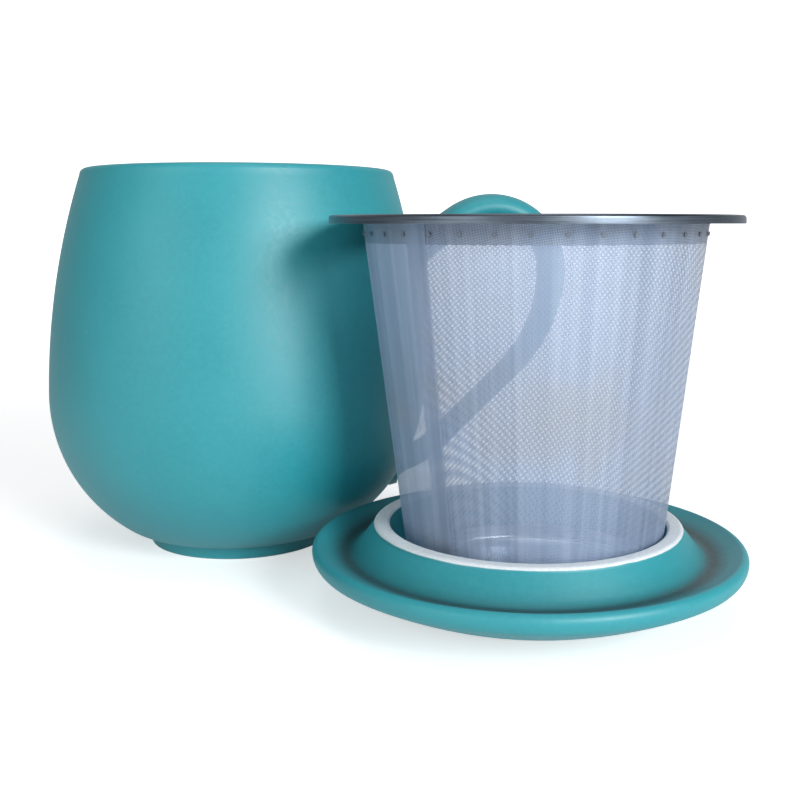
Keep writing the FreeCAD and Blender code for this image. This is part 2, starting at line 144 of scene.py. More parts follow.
# Where the pieces stand
MUG = ((BELLY_RADIUS - LID_OFFSET[0] - LID_RADIUS) / 2,
       (LID_RADIUS - LID_OFFSET[1] - BELLY_RADIUS) / 2)
LID = (MUG[0] + LID_OFFSET[0], MUG[1] + LID_OFFSET[1])
INFUSER = (LID[0] + INFUSER_SHIFT[0], LID[1] + INFUSER_SHIFT[1])
INFUSER_LEVEL = LID_THICKNESS + SEAT_GAP

# Fineness of the meshes
ARC_STEP_DEGREES = 9.0
STRAIGHT_RUN = 2.0
LINE_RUN = 0.5
ARC_STEP_LENGTH = 1.5
SOFT_STEPS = 8
FINE_SEGMENTS = 320
PAN_SEGMENTS = 256
SHEET_SEGMENTS = 360
LAP_SEGMENTS = 12
SHEET_ROWS = 60
HANDLE_ROWS = 241
HANDLE_SECTION = 48
SHARP_TURN = 32.0
AXIS_RADIUS = 1e-4
LATHE_MAP_RADIUS = 40.0
AROUND_MAP_RADIUS = 35.0
HANDLE_MAP_STEP = 0.8
FULL_TURN = 360.0
SEAM_TOLERANCE = 1e-6
ALMOST_FULL_TURN = FULL_TURN - SEAM_TOLERANCE


# Outlines
def arc_points(start, end, radius, side):
    """Points after start up to end on the shorter arc, its centre left (1) or right (-1) of the way."""
    start, end = np.array(start, float), np.array(end, float)
    way = end - start
    half = np.linalg.norm(way) / 2
    across = np.array([-way[1], way[0]]) / (2 * half)
    reach = math.sqrt(max(radius ** 2 - half ** 2, 0))
    centre = (start + end) / 2 + across * side * reach
    first = math.atan2(*(start - centre)[::-1])
    turn = 2 * math.asin(min(half / radius, 1.0)) * side
    by_angle = abs(turn) / math.radians(ARC_STEP_DEGREES)
    by_length = abs(turn) * radius / ARC_STEP_LENGTH
    count = max(2, math.ceil(max(by_angle, by_length)))
    angles = first + turn * np.arange(1, count + 1) / count
    return [tuple(centre + radius * np.array([math.cos(a), math.sin(a)])) for a in angles]


def trace(corners, arcs, closed=True, run=STRAIGHT_RUN):
    """An outline as one line of points. Straight edges get points too, so that surfaces shade evenly."""
    points = [tuple(map(float, corners[0]))]
    places = [0]
    last = len(corners) if closed else len(corners) - 1
    for i in range(last):
        start, end = np.array(corners[i]), np.array(corners[(i + 1) % len(corners)])
        if i in arcs:
            points += arc_points(start, end, *arcs[i])
        else:
            count = max(1, int(math.dist(start, end) / run))
            points += [tuple(start + (end - start) * k / count) for k in range(1, count + 1)]
        places.append(len(points) - 1)
    return points, places


def walk(points, index, step, distance):
    """The point that lies this distance along the line from a corner, and the index beyond it."""
    left = distance
    i = index
    while True:
        j = i + step
        start, end = np.array(points[i]), np.array(points[j])
        length = math.dist(start, end)
        if length >= left:
            return tuple(start + (end - start) * left / length), j
        left -= length
        i = j


def soften(points, places, cuts):
    """Rounds corners of a traced outline: cuts gives a corner's number and how far back the round starts."""
    for corner in sorted(cuts, reverse=True):
        index = places[corner]
        before, i = walk(points, index, -1, cuts[corner])
        after, j = walk(points, index, 1, cuts[corner])
        a, b, c = np.array(before), np.array(points[index]), np.array(after)
        shares = np.linspace(0, 1, SOFT_STEPS)
        curve = [tuple((1 - t) ** 2 * a + 2 * t * (1 - t) * b + t ** 2 * c) for t in shares]
        points = points[: i + 1] + curve + points[j:]
    return points


# Meshes
def new_object(name, vertices, faces, uvs=None, sharp=None):
    mesh = bpy.data.meshes.new(name)
    mesh.from_pydata([tuple(v) for v in vertices], [], faces)
    mesh.polygons.foreach_set("use_smooth", [True] * len(mesh.polygons))
    if uvs is not None:
        layer = mesh.uv_layers.new(name="surface_mm")
        layer.data.foreach_set("uv", np.asarray(uvs, float).ravel())
    if sharp:
        keys = {tuple(sorted(pair)) for pair in sharp}
        marks = [tuple(sorted(edge.vertices)) in keys for edge in mesh.edges]
        mesh.attributes.new("sharp_edge", "BOOLEAN", "EDGE").data.foreach_set("value", marks)
    mesh.validate()
    mesh.update()
    piece = bpy.data.objects.new(name, mesh)
    bpy.context.scene.collection.objects.link(piece)
    return piece


def lathe_rings(points, centre, level, angles, whole):
    """The vertices of a turned outline, and each row's vertex numbers. On the axis a row is one vertex."""
    segments = len(angles) - 1
    columns = segments if whole else segments + 1
    vertices, rings = [], []
    for r, z in points:
        base = len(vertices)
        height = (z + level) * MM
        if r < AXIS_RADIUS:
            rings.append([base] * (segments + 1))
            vertices.append((centre[0] * MM, centre[1] * MM, height))
            continue
        for angle in angles[:columns]:
            x = centre[0] + r * math.cos(angle)
            y = centre[1] + r * math.sin(angle)
            vertices.append((x * MM, y * MM, height))
        rings.append([base + (k % columns) for k in range(segments + 1)])
    return vertices, rings


def lathe_faces(points, rings, angles, closed, unroll):
    """Faces between the rows, and the place of each corner on the surface's map."""
    segments = len(angles) - 1
    steps = [math.dist(a, b) for a, b in zip(points, points[1:] + points[:1])]
    along = np.concatenate([[0], np.cumsum(steps)])
    faces, uvs = [], []
    rows = len(points) if closed else len(points) - 1
    for i in range(rows):
        j = (i + 1) % len(points)
        if points[i][0] < AXIS_RADIUS and points[j][0] < AXIS_RADIUS:
            continue
        for k in range(segments):
            face, place = [], []
            for row, column in ((i, k), (i, k + 1), (j, k + 1), (j, k)):
                vertex = rings[row][column]
                if vertex in face:
                    continue
                face.append(vertex)
                if unroll:
                    place.append(unroll(points[row], angles[column]))
                else:
                    height = along[i + 1] if row == j else along[i]
                    place.append((angles[column] * LATHE_MAP_RADIUS, height))
            faces.append(face[::-1])
            uvs += place[::-1]
    return faces, uvs


def sharp_edges(points, rings, closed):
    """The edges of rows where the outline turns sharply."""
    sharp = []
    for i in range(len(points)):
        if not closed and i in (0, len(points) - 1):
            continue
        a, b, c = (np.array(points[k % len(points)]) for k in (i - 1, i, i + 1))
        bend = math.degrees(abs(math.atan2(np.cross(b - a, c - b), np.dot(b - a, c - b))))
        if bend > SHARP_TURN and points[i][0] > AXIS_RADIUS:
            sharp += list(zip(rings[i], rings[i][1:]))
    return sharp


def lathe(name, outline, centre, level=0.0, segments=FINE_SEGMENTS, closed=True, start=0.0,
          sweep=FULL_TURN, unroll=None):
    """Turns an outline of (radius, height) about a vertical axis. UVs are millimetres on the surface."""
    points = []
    for point in outline:
        if not points or math.dist(point, points[-1]) > MERGE_GAP:
            points.append(point)
    if closed and math.dist(points[0], points[-1]) < MERGE_GAP:
        points.pop()
    angles = np.radians(start + sweep * np.arange(segments + 1) / segments)
    vertices, rings = lathe_rings(points, centre, level, angles, sweep >= FULL_TURN)
    faces, uvs = lathe_faces(points, rings, angles, closed, unroll)
    return new_object(name, vertices, faces, uvs, sharp_edges(points, rings, closed))


def frame_points(piece):
    flat = np.empty(len(piece.data.vertices) * 3)
    piece.data.vertices.foreach_get("co", flat)
    return flat.reshape(-1, 3) / MM


def add_around_map(piece, centre):
    """A second map: millimetres round the axis, and height."""
    at = frame_points(piece)
    angle = np.arctan2(at[:, 1] - centre[1], at[:, 0] - centre[0])
    layer = piece.data.uv_layers.new(name="around_mm")
    vertex = np.empty(len(piece.data.loops), int)
    piece.data.loops.foreach_get("vertex_index", vertex)
    places = np.stack([angle[vertex] * AROUND_MAP_RADIUS, at[vertex, 2]], 1)
    layer.data.foreach_set("uv", places.ravel())


def set_mask(piece, name, values):
    layer = piece.data.attributes.new(name, "FLOAT", "POINT")
    layer.data.foreach_set("value", list(map(float, values)))


def arc_through(rise, swell):
    """The radius of an arc that is upright at one end and goes in by swell over a rise."""
    return (rise ** 2 + swell ** 2) / (2 * swell)


# Mug body
LOWER_CENTRE = BELLY_RADIUS - LOWER_CURVE


def outside_turn():
    """Where the lower curve of the mug's outside goes over into the bottom curve."""
    across = FOOT_TOP_RADIUS - LOWER_CENTRE
    down = BELLY_LEVEL - FOOT_HEIGHT
    far = math.hypot(across, down)
    step = LOWER_CURVE - BOTTOM_CURVE
    along = (step ** 2 - BOTTOM_CURVE ** 2 + far ** 2) / (2 * far)
    aside = math.sqrt(step ** 2 - along ** 2)
    bottom_across = (along * across + aside * down) / far
    bottom_down = (along * down - aside * across) / far
    scale = LOWER_CURVE / step
    return LOWER_CENTRE + bottom_across * scale, BELLY_LEVEL - bottom_down * scale


def inside_floor():
    """Where the mug's inner floor ends, and where its curve goes over into the wall's."""
    lower_curve = LOWER_CURVE - BELLY_WALL
    step = lower_curve - FLOOR_CURVE
    down = BELLY_LEVEL - FLOOR_LEVEL - FLOOR_CURVE
    across = math.sqrt(step ** 2 - down ** 2)
    scale = lower_curve / step
    return LOWER_CENTRE + across, (LOWER_CENTRE + across * scale, BELLY_LEVEL - down * scale)


MOUTH_RADIUS = RIM_RADIUS - RIM_WALL
MOUTH_LEVEL = MUG_HEIGHT - RIM_INNER_ROUND
SHOULDER_LEVEL = MUG_HEIGHT - RIM_OUTER_ROUND
FOOT_INNER_RADIUS = FOOT_RADIUS - FOOT_WIDTH
INNER_BELLY_RADIUS = BELLY_RADIUS - BELLY_WALL
FLOOR_RADIUS, INNER_TURN = inside_floor()
MUG_OUTSIDE = [
    (RIM_RADIUS - RIM_OUTER_ROUND, MUG_HEIGHT),
    (RIM_RADIUS, SHOULDER_LEVEL),
    (BELLY_RADIUS, BELLY_LEVEL),
    outside_turn(),
    (FOOT_TOP_RADIUS, FOOT_HEIGHT),
    (FOOT_RADIUS, 0.0),
]
MUG_INSIDE = [
    (FOOT_INNER_RADIUS, 0.0),
    (FOOT_INNER_RADIUS - FOOT_SLANT, FOOT_RECESS),
    (0.0, FOOT_RECESS),
    (0.0, FLOOR_LEVEL),
    (FLOOR_RADIUS, FLOOR_LEVEL),
    INNER_TURN,
    (INNER_BELLY_RADIUS, BELLY_LEVEL),
    (MOUTH_RADIUS, MOUTH_LEVEL),
    (MOUTH_RADIUS + RIM_INNER_ROUND, MUG_HEIGHT),
]
MUG_OUTSIDE_ARCS = {
    0: (RIM_OUTER_ROUND, -1),
    1: (arc_through(SHOULDER_LEVEL - BELLY_LEVEL, BELLY_RADIUS - RIM_RADIUS), -1),
    2: (LOWER_CURVE, -1),
    3: (BOTTOM_CURVE, -1),
}
MUG_INSIDE_ARCS = {
    10: (FLOOR_CURVE, 1),
    11: (LOWER_CURVE - BELLY_WALL, 1),
    12: (arc_through(MOUTH_LEVEL - BELLY_LEVEL, INNER_BELLY_RADIUS - MOUTH_RADIUS), 1),
    13: (RIM_INNER_ROUND, -1),
}
# How far back from each corner of the foot its round starts
FOOT_CUTS = {4: 0.7, 5: 0.45, 6: 0.5, 7: 0.8}
WALL_LINE = np.array(trace(MUG_OUTSIDE, MUG_OUTSIDE_ARCS, closed=False, run=LINE_RUN)[0])


def make_mug_body():
    points, places = trace(MUG_OUTSIDE + MUG_INSIDE, {**MUG_OUTSIDE_ARCS, **MUG_INSIDE_ARCS})
    return lathe("mug_body_glazed", soften(points, places, FOOT_CUTS), MUG)


def wall_distance(points_xyz):
    """How far points lie outside the mug's outer surface, negative inside."""
    radius = np.hypot(points_xyz[:, 0], points_xyz[:, 1])
    places = np.stack([radius, points_xyz[:, 2]], 1)
    a, b = WALL_LINE[:-1], WALL_LINE[1:]
    d = b - a
    t = np.clip(((places[:, None] - a) * d).sum(2) / (d * d).sum(1), 0, 1)
    gap = places[:, None] - (a + t[..., None] * d)
    distance = np.linalg.norm(gap, axis=2)
    k = distance.argmin(1)
    rows = np.arange(len(places))
    normal = np.stack([-d[:, 1], d[:, 0]], 1)[k]
    return distance[rows, k] * np.sign((gap[rows, k] * normal).sum(1))


# Mug handle
SMOOTHING_ROUNDS = 60
SECTION_POWER = 2.1
TAPER_START = 0.38
TAPER_SHARE = 0.34


def handle_line():
    """The handle's middle line from its upper root to its lower one, seen from the side."""
    loop_centre = HANDLE_REACH - LOOP_CURVE
    loop_end = (loop_centre + LOOP_CURVE * cos(LOOP_TURN), HANDLE_LEVEL + LOOP_CURVE * sin(LOOP_TURN))
    loop_root = BELLY_RADIUS - LOOP_ROOT_DEPTH
    loop_run = (loop_end[0] - loop_root) / sin(LOOP_TURN)
    tail_centre = HANDLE_REACH - TAIL_CURVE
    tail_end = (tail_centre + TAIL_CURVE * cos(TAIL_TURN), HANDLE_LEVEL - TAIL_CURVE * sin(TAIL_TURN))
    run_end = (tail_end[0] - TAIL_RUN * sin(TAIL_TURN), tail_end[1] - TAIL_RUN * cos(TAIL_TURN))
    heading = TAIL_TURN + ROOT_TURN
    root_end = (run_end[0] - ROOT_CURVE * (cos(TAIL_TURN) - cos(heading)),
                run_end[1] - ROOT_CURVE * (sin(heading) - sin(TAIL_TURN)))
    tail_root = BELLY_RADIUS - TAIL_ROOT_DEPTH
    root_run = (root_end[0] - tail_root) / sin(heading)
    corners = [
        (loop_root, loop_end[1] + loop_run * cos(LOOP_TURN)),
        loop_end,
        (HANDLE_REACH, HANDLE_LEVEL),
        tail_end,
        run_end,
        root_end,
        (tail_root, root_end[1] - root_run * cos(heading)),
    ]
    arcs = {1: (LOOP_CURVE, -1), 2: (TAIL_CURVE, -1), 4: (ROOT_CURVE, -1)}
    line = np.array(trace(corners, arcs, closed=False, run=LINE_RUN)[0])
    lengths = np.concatenate([[0], np.cumsum(np.linalg.norm(np.diff(line, axis=0), axis=1))])
    even = np.linspace(0, lengths[-1], HANDLE_ROWS)
    line = np.stack([np.interp(even, lengths, line[:, i]) for i in (0, 1)], 1)
    # The curvature runs over smoothly from one arc into the next
    for _ in range(SMOOTHING_ROUNDS):
        line[1:-1] = (line[:-2] + 2 * line[1:-1] + line[2:]) / 4
    return line, even


def strap_section():
    """The strap's rounded section, as shares of half its thickness and of half its width."""
    around = 2 * math.pi * np.arange(HANDLE_SECTION) / HANDLE_SECTION
    power = 2 / SECTION_POWER
    across = np.sign(np.cos(around)) * np.abs(np.cos(around)) ** power
    broad = np.sign(np.sin(around)) * np.abs(np.sin(around)) ** power
    return across, broad


def strap_thickness(share):
    """The strap thins from its loop to its tail."""
    thin = np.clip((share - TAPER_START) / TAPER_SHARE, 0, 1)
    thin = thin * thin * (3 - 2 * thin)
    return STRAP_THICKNESS + (TAIL_THICKNESS - STRAP_THICKNESS) * thin


def handle_rings(line):
    """The section set along the line, flaring where it meets the mug."""
    across, broad = strap_section()
    tangent = np.gradient(line, axis=0)
    tangent /= np.linalg.norm(tangent, axis=1)[:, None]
    normal = np.stack([-tangent[:, 1], tangent[:, 0]], 1)
    rings = []
    for centre, way, share in zip(line, normal, np.linspace(0, 1, len(line))):
        half = strap_thickness(share) / 2
        ring = np.stack([centre[0] + way[0] * across * half, broad * STRAP_WIDTH / 2,
                         centre[1] + way[1] * across * half], 1)
        outward = ring - np.array([centre[0], 0, centre[1]])
        outward /= np.linalg.norm(outward, axis=1)[:, None]
        near = np.clip(wall_distance(ring), 0, ROOT_FILLET)
        flare = ROOT_FILLET - np.sqrt(ROOT_FILLET ** 2 - (ROOT_FILLET - near) ** 2)
        rings.append(ring + outward * flare[:, None])
    return np.array(rings)


def make_mug_handle():
    line, even = handle_line()
    rings = handle_rings(line)
    x, y = rings[..., 0].copy(), rings[..., 1].copy()
    rings[..., 0] = MUG[0] + x * cos(HANDLE_AZIMUTH) - y * sin(HANDLE_AZIMUTH)
    rings[..., 1] = MUG[1] + x * sin(HANDLE_AZIMUTH) + y * cos(HANDLE_AZIMUTH)
    faces, uvs = [], []
    for i in range(len(rings) - 1):
        low, high = i * HANDLE_SECTION, (i + 1) * HANDLE_SECTION
        for k in range(HANDLE_SECTION):
            n = (k + 1) % HANDLE_SECTION
            left, right = k * HANDLE_MAP_STEP, (k + 1) * HANDLE_MAP_STEP
            faces.append([low + k, low + n, high + n, high + k])
            uvs += [(even[i], left), (even[i], right), (even[i + 1], right), (even[i + 1], left)]
    return new_object("mug_handle_glazed", rings.reshape(-1, 3) * MM, faces, uvs)


# Lid
RING_OUTER_RADIUS = RING_INNER_RADIUS + RING_WALL
RING_BORE_RADIUS = RING_INNER_RADIUS - RING_DRAFT
LID_LINE = [
    (0.0, 0.0),
    (LID_FLAT_RADIUS, 0.0),
    (LID_RADIUS - LIP_UNDER_ROUND * (1 - cos(LIP_UNDER_ANGLE)),
     LIP_LEVEL - LIP_UNDER_ROUND * sin(LIP_UNDER_ANGLE)),
    (LID_RADIUS, LIP_LEVEL),
    (LID_RADIUS - LIP_OVER_ROUND * (1 - cos(LIP_OVER_ANGLE)),
     LIP_LEVEL + LIP_OVER_ROUND * sin(LIP_OVER_ANGLE)),
    (DISH_RADIUS, DISH_LEVEL),
    (DISH_RADIUS - RING_FOOT_WIDTH, DISH_LEVEL + RING_FOOT_RISE),
    (RING_OUTER_RADIUS, RING_TOP_LEVEL - RING_OUTER_ROUND),
    (RING_OUTER_RADIUS - RING_OUTER_ROUND, RING_TOP_LEVEL),
    (RING_INNER_RADIUS + RING_INNER_ROUND, RING_TOP_LEVEL),
    (RING_INNER_RADIUS, RING_TOP_LEVEL - RING_INNER_ROUND),
    (RING_BORE_RADIUS, LID_THICKNESS + RING_FLOOR_ROUND),
    (RING_BORE_RADIUS - RING_FLOOR_ROUND, LID_THICKNESS),
    (0.0, LID_THICKNESS),
]
LID_ARCS = {
    1: (DOME_CURVE, 1),
    2: (LIP_UNDER_ROUND, 1),
    3: (LIP_OVER_ROUND, 1),
    4: (DISH_CURVE, -1),
    5: (RING_FOOT_CURVE, -1),
    7: (RING_OUTER_ROUND, 1),
    9: (RING_INNER_ROUND, 1),
    11: (RING_FLOOR_ROUND, -1),
}
# How far back from each corner of the lid its softening starts
LID_CUTS = {1: 1.5, 2: 0.8, 4: 0.35, 5: 0.6, 6: 1.0}


def make_lid():
    points, places = trace(LID_LINE, LID_ARCS)
    return lathe("lid_glazed", soften(points, places, LID_CUTS), LID)


# Infuser
FLANGE_UNDER = INFUSER_HEIGHT - SHEET_THICKNESS
TAPER = (BASKET_TOP_RADIUS - BASKET_BOTTOM_RADIUS) / FLANGE_UNDER
SLANT = math.sin(math.atan(TAPER))
RIM_RUN = 0.6
PAN_RUN = 0.8


def make_infuser_rim():
    top = INFUSER_HEIGHT + FLANGE_CROWN
    lip_bottom = top - FLANGE_DROP
    lip_inner = FLANGE_RADIUS - SHEET_THICKNESS
    collar_outer = BASKET_TOP_RADIUS - MESH_THICKNESS
    collar_inner = collar_outer - SHEET_THICKNESS
    bend_level = INFUSER_HEIGHT - COLLAR_BEND
    bend_inner = collar_inner - TAPER * (FLANGE_UNDER - bend_level)
    collar_bottom = FLANGE_UNDER - COLLAR_HEIGHT
    bottom_outer = collar_outer - TAPER * COLLAR_HEIGHT
    corners = [
        (FLANGE_RADIUS, lip_bottom),
        (FLANGE_RADIUS, top - FLANGE_ROUND),
        (FLANGE_RADIUS - FLANGE_ROUND, top),
        (collar_inner + COLLAR_BEND, top),
        (bend_inner, bend_level),
        (bottom_outer - SHEET_THICKNESS, collar_bottom),
        (bottom_outer, collar_bottom),
        (collar_outer, FLANGE_UNDER),
        (lip_inner, FLANGE_UNDER),
        (lip_inner, lip_bottom),
    ]
    points, _ = trace(corners, {1: (FLANGE_ROUND, 1), 3: (MOUTH_BEND, 1)}, run=RIM_RUN)
    return lathe("infuser_flange_collar", points, INFUSER, INFUSER_LEVEL)


def make_base_pan():
    inner = BASKET_BOTTOM_RADIUS - MESH_THICKNESS
    corner = inner + TAPER * BASE_CORNER
    flat = corner - BASE_CORNER
    top = inner + TAPER * BASE_WALL_HEIGHT
    corners = [
        (0.0, 0.0),
        (flat, 0.0),
        (corner, BASE_CORNER),
        (top, BASE_WALL_HEIGHT),
        (top - SHEET_THICKNESS, BASE_WALL_HEIGHT),
        (corner - SHEET_THICKNESS, BASE_CORNER),
        (flat, SHEET_THICKNESS),
        (0.0, SHEET_THICKNESS),
    ]
    arcs = {1: (BASE_CORNER, 1), 5: (BASE_CORNER - SHEET_THICKNESS, -1)}
    points, _ = trace(corners, arcs, run=PAN_RUN)
    return lathe("infuser_base_cup", points, INFUSER, INFUSER_LEVEL, segments=PAN_SEGMENTS)


def unrolled(point, angle):
    """Where a point of the cone lies on the flat sheet that it is rolled from."""
    away = (angle - math.radians(SEAM_AZIMUTH + 180.0) + math.pi) % (2 * math.pi) - math.pi
    if abs(away) > math.pi - SEAM_TOLERANCE:
        away = math.copysign(math.pi, away)
    far = point[0] / SLANT
    return far * math.sin(away * SLANT), far * math.cos(away * SLANT)


def make_mesh(name, outward, segments, sweep):
    """A strip of the mesh cone, from the seam round by the sweep."""
    levels = np.linspace(MESH_BOTTOM_LEVEL, FLANGE_UNDER - MESH_TOP_GAP, SHEET_ROWS)
    line = [(BASKET_BOTTOM_RADIUS + TAPER * z + outward, z) for z in levels]
    piece = lathe(name, line, INFUSER, INFUSER_LEVEL, segments=segments, closed=False,
                  start=SEAM_AZIMUTH, sweep=sweep, unroll=unrolled)
    add_around_map(piece, INFUSER)
    return piece


mug_body = make_mug_body()
mug_handle = make_mug_handle()
lid = make_lid()
rim = make_infuser_rim()
pan = make_base_pan()
sheet = make_mesh("infuser_mesh_sheet", -MESH_THICKNESS / 2, SHEET_SEGMENTS, ALMOST_FULL_TURN)
lap = make_mesh("infuser_mesh_lap", LAP_RISE, LAP_SEGMENTS, LAP_ANGLE)


# Materials
class Nodes:
    """Short calls to build a material's nodes."""

    def __init__(self, name):
        self.material = bpy.data.materials.new(name)
        self.material.use_nodes = True
        self.tree = self.material.node_tree
        self.shader = self.tree.nodes["Principled BSDF"]

    def put(self, socket, value):
        if isinstance(value, bpy.types.NodeSocket):
            self.tree.links.new(value, socket)
        elif value is not None:
            socket.default_value = value

    def node(self, kind, **settings):
        node = self.tree.nodes.new(kind)
        for key, value in settings.items():
            setattr(node, key, value)
        return node

    def math(self, operation, a, b=None):
        node = self.node("ShaderNodeMath", operation=operation)
        for socket, value in zip(node.inputs, (a, b)):
            self.put(socket, value)
        return node.outputs[0]

    def ramp(self, value, low, high, to_low=0.0, to_high=1.0):
        node = self.node("ShaderNodeMapRange", interpolation_type="SMOOTHSTEP")
        for socket, item in zip(node.inputs, (value, low, high, to_low, to_high)):
            self.put(socket, item)
        return node.outputs[0]

    def noise(self, vector, scale, detail=3.0, roughness=0.5, stretch=(1, 1, 1), seed=0.0):
        mapping = self.node("ShaderNodeMapping")
        mapping.inputs["Scale"].default_value = stretch
        mapping.inputs["Location"].default_value = (seed, seed * 0.7, seed * 0.3)
        self.put(mapping.inputs["Vector"], vector)
        node = self.node("ShaderNodeTexNoise")
        self.put(node.inputs["Vector"], mapping.outputs[0])
        node.inputs["Scale"].default_value = scale
        node.inputs["Detail"].default_value = detail
        node.inputs["Roughness"].default_value = roughness
        return node.outputs["Fac"]

    def mix(self, factor, a, b):
        node = self.node("ShaderNodeMix", data_type="RGBA", blend_type="MIX")
        self.put(node.inputs[0], factor)
        self.put(node.inputs[6], a)
        self.put(node.inputs[7], b)
        return node.outputs[2]

    def bump(self, height, distance, strength, normal=None):
        node = self.node("ShaderNodeBump")
        self.put(node.inputs["Height"], height)
        node.inputs["Distance"].default_value = distance
        node.inputs["Strength"].default_value = strength
        self.put(node.inputs["Normal"], normal)
        return node.outputs[0]

    def attribute(self, name):
        return self.node("ShaderNodeAttribute", attribute_name=name).outputs["Fac"]

    def uv(self, name):
        return self.node("ShaderNodeUVMap", uv_map=name).outputs[0]

    def place(self):
        return self.node("ShaderNodeTexCoord").outputs["Object"]

    def set(self, name, value):
        self.put(self.shader.inputs[name], value)


def rgb(text):
    """A colour as it is seen on screen, to the linear values that Blender's sockets take."""
    parts = [int(text[i:i + 2], 16) / 255 for i in (0, 2, 4)]
    return tuple(p / 12.92 if p <= 0.04045 else ((p + 0.055) / 1.055) ** 2.4 for p in parts) + (1.0,)


GLAZE_DEEP = (0.010, 0.285, 0.335, 1)
GLAZE_LIGHT = (0.016, 0.315, 0.365, 1)
GLAZE_PALE = (0.036, 0.365, 0.415, 1)
GLAZE_GRAIN = (0.010, 0.235, 0.280, 1)
# Painted shade colour for the lid's channel
GLAZE_PAINTED_SHADE = (0.004, 0.045, 0.052, 1)
SPECK_COLOUR = rgb("cfe3df")
CLAY_SHADE = rgb("dde5ea")
CLAY_LIGHT = rgb("eaf0f3")


def glaze_specks(n, place):
    """Pinholes: few and tiny pale specks."""
    cells = n.node("ShaderNodeTexVoronoi", feature="F1")
    n.put(cells.inputs["Vector"], place)
    cells.inputs["Scale"].default_value = 110.0
    parts = n.node("ShaderNodeSeparateColor")
    n.put(parts.inputs[0], cells.outputs["Color"])
    rare = n.math("GREATER_THAN", parts.outputs[0], 0.93)
    return n.math("MULTIPLY", n.ramp(cells.outputs["Distance"], low=0.05, high=0.03), rare)


def bare_clay(n, place):
    """Where the clay is left bare: the mask with a slightly uneven edge."""
    wander = n.math("SUBTRACT", n.noise(place, scale=180.0, detail=2.0), 0.5)
    edge = n.math("ADD", n.attribute("bare"), n.math("MULTIPLY", wander, 0.3))
    return n.ramp(edge, low=0.38, high=0.62)


def glaze_material():
    n = Nodes("teal_matte_glaze")
    place = n.place()
    broad = n.noise(place, scale=28.0, detail=2.0)
    fine = n.noise(place, scale=900.0, detail=4.0, roughness=0.6, seed=3.0)
    grain = n.noise(place, scale=3200.0, detail=2.0, seed=7.0)
    colour = n.mix(n.ramp(broad, low=0.35, high=0.65), GLAZE_DEEP, GLAZE_LIGHT)
    colour = n.mix(n.ramp(fine, low=0.3, high=0.7, to_high=0.3), colour, GLAZE_PALE)
    colour = n.mix(n.ramp(grain, low=0.35, high=0.8, to_high=0.2), colour, GLAZE_GRAIN)
    # Painted shade: the lid's channel between the ring and the lip is darkened where shade falls
    colour = n.mix(n.math("MULTIPLY", n.attribute("painted_channel_shade"), 0.95), colour, GLAZE_PAINTED_SHADE)
    colour = n.mix(n.math("MULTIPLY", glaze_specks(n, place), 0.75), colour, SPECK_COLOUR)
    bare = bare_clay(n, place)
    clay_grain = n.noise(place, scale=1500.0, seed=5.0)
    clay = n.mix(n.ramp(clay_grain, low=0.3, high=0.7), CLAY_SHADE, CLAY_LIGHT)
    n.set("Base Color", n.mix(bare, colour, clay))
    glaze_roughness = n.ramp(fine, low=0.3, high=0.7, to_low=0.46, to_high=0.54)
    n.set("Roughness", n.math("ADD", glaze_roughness, n.math("MULTIPLY", bare, 0.25)))
    n.set("Specular IOR Level", 0.8)
    n.set("Sheen Weight", 0.02)
    n.set("Sheen Roughness", 0.6)
    waves = n.noise(place, scale=95.0, detail=2.0, roughness=0.4, seed=11.0)
    low = n.bump(waves, distance=0.0003, strength=0.35)
    n.set("Normal", n.bump(grain, distance=0.00003, strength=0.5, normal=low))
    return n.material


def steel_material(name, dark, bright, rough, stretch):
    n = Nodes(name)
    lines = n.noise(n.uv("surface_mm"), scale=1.0, detail=5.0, roughness=0.65, stretch=stretch)
    cloud = n.noise(n.place(), scale=60.0, seed=2.0)
    n.set("Base Color", n.mix(n.ramp(lines, low=0.3, high=0.7), rgb(dark), rgb(bright)))
    n.set("Metallic", 1.0)
    line_roughness = n.ramp(lines, low=0.25, high=0.75, to_low=rough - 0.06, to_high=rough + 0.08)
    cloud_roughness = n.ramp(cloud, low=0.3, high=0.7, to_low=-0.03, to_high=0.05)
    n.set("Roughness", n.math("ADD", line_roughness, cloud_roughness))
    n.set("Anisotropic", 0.4)
    n.set("Normal", n.bump(lines, distance=0.00002, strength=0.5))
    return n.material


WEAVE_PITCH = 0.30
WIRE_THICKNESS = 0.130
WEAVE_TURN = 12.0
WEAVE_TINT = rgb("98acca")
WEAVE_LIGHT = rgb("b9cae4")
WEAVE_WARM = rgb("a8a6a4")


def weave_coordinates(n):
    """The flat sheet's two directions along its wires, in pitches."""
    split = n.node("ShaderNodeSeparateXYZ")
    n.put(split.inputs[0], n.uv("surface_mm"))
    along, aside = cos(WEAVE_TURN) / WEAVE_PITCH, sin(WEAVE_TURN) / WEAVE_PITCH
    x, y = split.outputs[0], split.outputs[1]
    u = n.math("ADD", n.math("MULTIPLY", x, along), n.math("MULTIPLY", y, aside))
    v = n.math("SUBTRACT", n.math("MULTIPLY", y, along), n.math("MULTIPLY", x, aside))
    return u, v


def weave_wires(n):
    """Where the wires cover the sheet, and how high they stand as they pass over and under."""
    half = WIRE_THICKNESS / WEAVE_PITCH / 2
    u, v = weave_coordinates(n)
    covers, heights = [], []
    for coordinate, other in ((u, v), (v, u)):
        off = n.math("ABSOLUTE", n.math("SUBTRACT", n.math("FRACT", coordinate), 0.5))
        covers.append(n.ramp(off, half * 1.08, half * 0.92))
        beat = n.math("ADD", other, n.math("FLOOR", coordinate))
        wave = n.math("COSINE", n.math("MULTIPLY", beat, math.pi))
        lift = n.math("ADD", n.math("MULTIPLY", wave, 0.35), 0.65)
        heights.append(n.math("MULTIPLY", n.ramp(off, half, 0.0), lift))
    return n.math("MAXIMUM", *covers), n.math("MAXIMUM", *heights)


